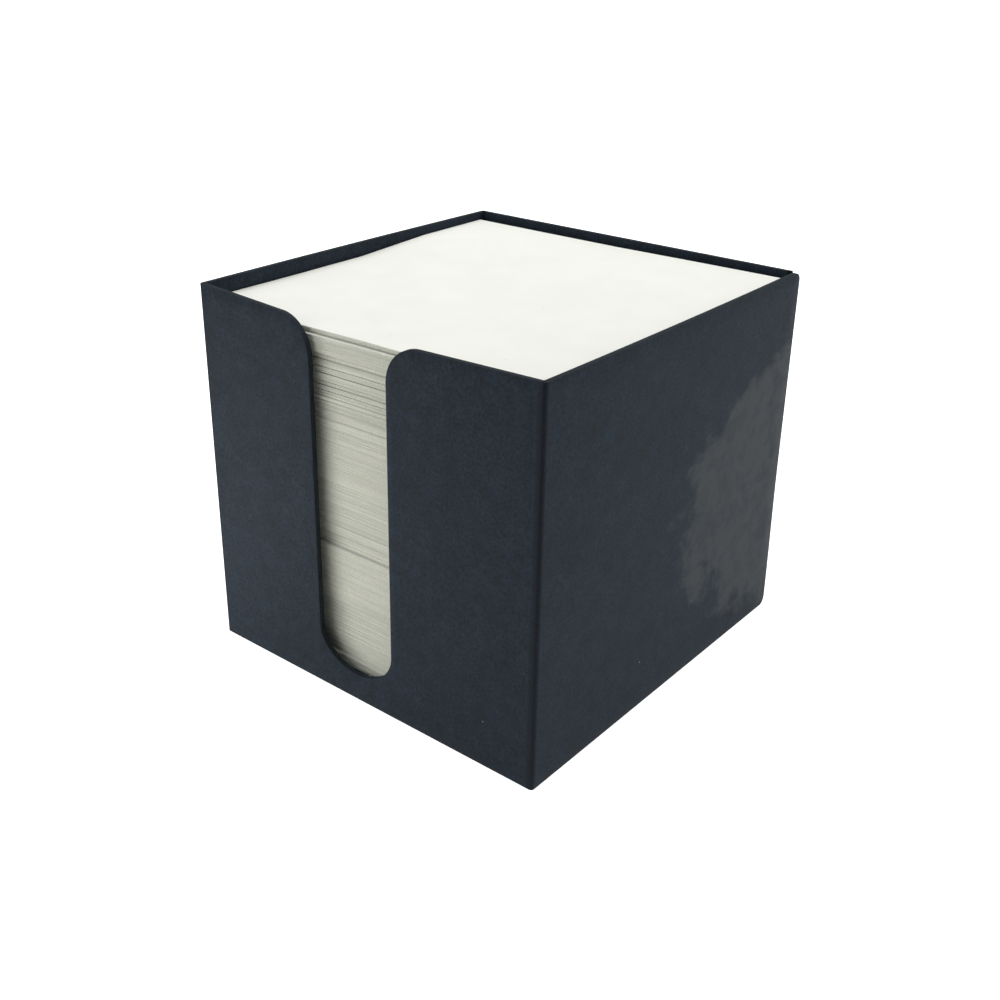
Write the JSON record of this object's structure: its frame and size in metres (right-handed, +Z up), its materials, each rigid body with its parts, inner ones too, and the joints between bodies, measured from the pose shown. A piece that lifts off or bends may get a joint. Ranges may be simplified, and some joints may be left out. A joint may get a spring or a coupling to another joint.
{
  "type": "memo cube holder",
  "caption": "Open-topped folded board box with a finger slot in the front wall, full of loose square memo sheets that lift out.",
  "frame": {"origin": "centre of the box's bottom face", "axes": "+Z up out of the open top, the finger slot faces -Y, +X to the right seen from the front"},
  "size_m": [0.095, 0.098, 0.0875],
  "materials": {
    "dyed_board": "matt, dyed through, slightly scuffed",
    "memo_paper": "uncoated, matt"
  },
  "bodies": {
    "holder": {"wall_wrap": "dyed_board", "base_tray": "dyed_board"},
    "wad_01": {"memo_wad_01": "memo_paper"},
    "wad_02": {"memo_wad_02": "memo_paper"},
    "wad_03": {"memo_wad_03": "memo_paper"},
    "wad_04": {"memo_wad_04": "memo_paper"},
    "wad_05": {"memo_wad_05": "memo_paper"},
    "wad_06": {"memo_wad_06": "memo_paper"},
    "wad_07": {"memo_wad_07": "memo_paper"},
    "wad_08": {"memo_wad_08": "memo_paper"},
    "wad_09": {"memo_wad_09": "memo_paper"},
    "wad_10": {"memo_wad_10": "memo_paper"},
    "wad_11": {"memo_wad_11": "memo_paper"},
    "wad_12": {"memo_wad_12": "memo_paper"},
    "wad_13": {"memo_wad_13": "memo_paper"},
    "wad_14": {"memo_wad_14": "memo_paper"},
    "wad_15": {"memo_wad_15": "memo_paper"},
    "wad_16": {"memo_wad_16": "memo_paper"},
    "wad_17": {"memo_wad_17": "memo_paper"},
    "wad_18": {"memo_wad_18": "memo_paper"},
    "wad_19": {"memo_wad_19": "memo_paper"},
    "wad_20": {"memo_wad_20": "memo_paper"},
    "wad_21": {"memo_wad_21": "memo_paper"},
    "wad_22": {"memo_wad_22": "memo_paper"},
    "wad_23": {"memo_wad_23": "memo_paper"}
  },
  "joints": [
    {"name": "wad_01_lift", "type": "slide", "parent": "holder", "child": "wad_01", "axis": [0, 0, 1], "range_m": [0, 0.092]},
    {"name": "wad_02_lift", "type": "slide", "parent": "wad_01", "child": "wad_02", "axis": [0, 0, 1], "range_m": [0, 0.086]},
    {"name": "wad_03_lift", "type": "slide", "parent": "wad_02", "child": "wad_03", "axis": [0, 0, 1], "range_m": [0, 0.081]},
    {"name": "wad_04_lift", "type": "slide", "parent": "wad_03", "child": "wad_04", "axis": [0, 0, 1], "range_m": [0, 0.073]},
    {"name": "wad_05_lift", "type": "slide", "parent": "wad_04", "child": "wad_05", "axis": [0, 0, 1], "range_m": [0, 0.065]},
    {"name": "wad_06_lift", "type": "slide", "parent": "wad_05", "child": "wad_06", "axis": [0, 0, 1], "range_m": [0, 0.059]},
    {"name": "wad_07_lift", "type": "slide", "parent": "wad_06", "child": "wad_07", "axis": [0, 0, 1], "range_m": [0, 0.056]},
    {"name": "wad_08_lift", "type": "slide", "parent": "wad_07", "child": "wad_08", "axis": [0, 0, 1], "range_m": [0, 0.054]},
    {"name": "wad_09_lift", "type": "slide", "parent": "wad_08", "child": "wad_09", "axis": [0, 0, 1], "range_m": [0, 0.045]},
    {"name": "wad_10_lift", "type": "slide", "parent": "wad_09", "child": "wad_10", "axis": [0, 0, 1], "range_m": [0, 0.038]},
    {"name": "wad_11_lift", "type": "slide", "parent": "wad_10", "child": "wad_11", "axis": [0, 0, 1], "range_m": [0, 0.034]},
    {"name": "wad_12_lift", "type": "slide", "parent": "wad_11", "child": "wad_12", "axis": [0, 0, 1], "range_m": [0, 0.029]},
    {"name": "wad_13_lift", "type": "slide", "parent": "wad_12", "child": "wad_13", "axis": [0, 0, 1], "range_m": [0, 0.027]},
    {"name": "wad_14_lift", "type": "slide", "parent": "wad_13", "child": "wad_14", "axis": [0, 0, 1], "range_m": [0, 0.025]},
    {"name": "wad_15_lift", "type": "slide", "parent": "wad_14", "child": "wad_15", "axis": [0, 0, 1], "range_m": [0, 0.024]},
    {"name": "wad_16_lift", "type": "slide", "parent": "wad_15", "child": "wad_16", "axis": [0, 0, 1], "range_m": [0, 0.023]},
    {"name": "wad_17_lift", "type": "slide", "parent": "wad_16", "child": "wad_17", "axis": [0, 0, 1], "range_m": [0, 0.022]},
    {"name": "wad_18_lift", "type": "slide", "parent": "wad_17", "child": "wad_18", "axis": [0, 0, 1], "range_m": [0, 0.021]},
    {"name": "wad_19_lift", "type": "slide", "parent": "wad_18", "child": "wad_19", "axis": [0, 0, 1], "range_m": [0, 0.019]},
    {"name": "wad_20_lift", "type": "slide", "parent": "wad_19", "child": "wad_20", "axis": [0, 0, 1], "range_m": [0, 0.018]},
    {"name": "wad_21_lift", "type": "slide", "parent": "wad_20", "child": "wad_21", "axis": [0, 0, 1], "range_m": [0, 0.016]},
    {"name": "wad_22_lift", "type": "slide", "parent": "wad_21", "child": "wad_22", "axis": [0, 0, 1], "range_m": [0, 0.015]},
    {"name": "wad_23_lift", "type": "slide", "parent": "wad_22", "child": "wad_23", "axis": [0, 0, 1], "range_m": [0, 0.011]}
  ]
}
